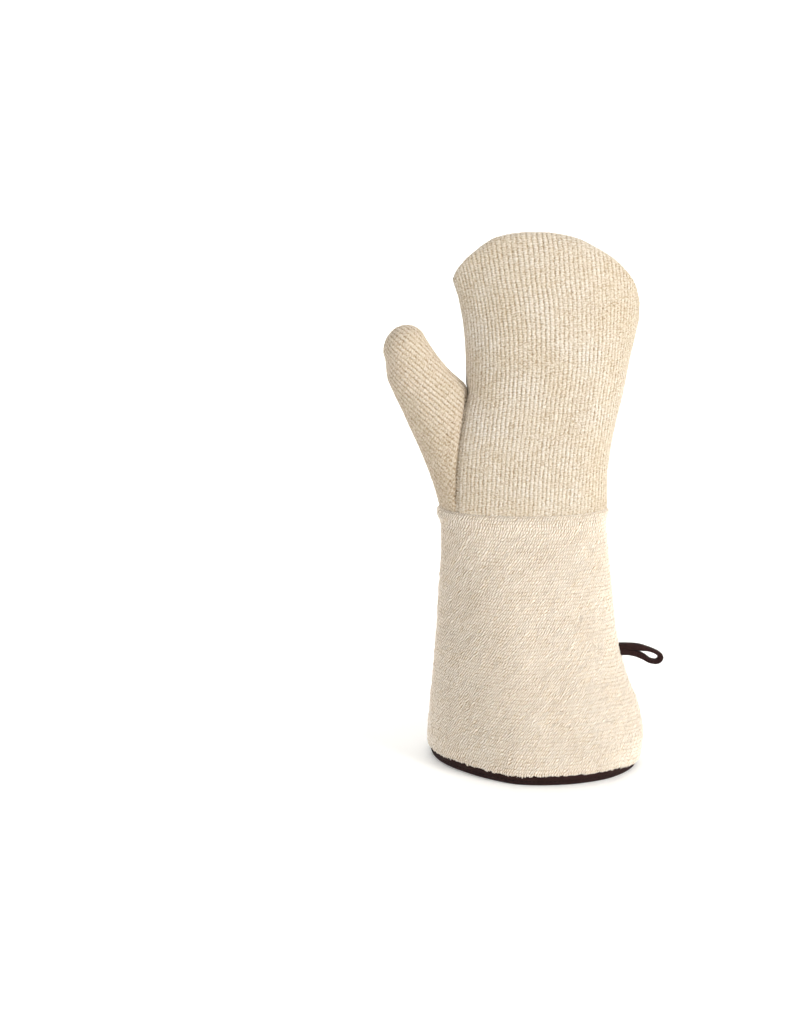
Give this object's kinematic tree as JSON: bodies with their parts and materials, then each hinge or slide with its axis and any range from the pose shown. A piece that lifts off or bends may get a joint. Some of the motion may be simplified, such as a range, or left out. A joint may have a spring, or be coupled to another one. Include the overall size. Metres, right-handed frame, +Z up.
{
  "type": "terry cloth heat resistant mitt",
  "caption": "Looped terry cloth gauntlet mitt with a side thumb, a flared cuff bound with dark tape at the hem and a small tape hanging loop, standing upright.",
  "frame": {"origin": "centre of the bounding box at the height of the flat hem that the mitt stands on", "axes": "+Z up from the hem to the finger tips, thumb towards -X, little finger and hanging loop towards +X, the face seen in the picture towards -Y"},
  "size_m": [0.2254, 0.122, 0.4306],
  "materials": {
    "terry": "looped cotton pile",
    "binding_tape": "woven cotton tape"
  },
  "bodies": {
    "root": {"hand_pocket": "terry", "thumb_pocket": "terry", "gauntlet_cuff": "terry", "hem_binding": "binding_tape", "hanging_loop": "binding_tape"}
  },
  "joints": []
}
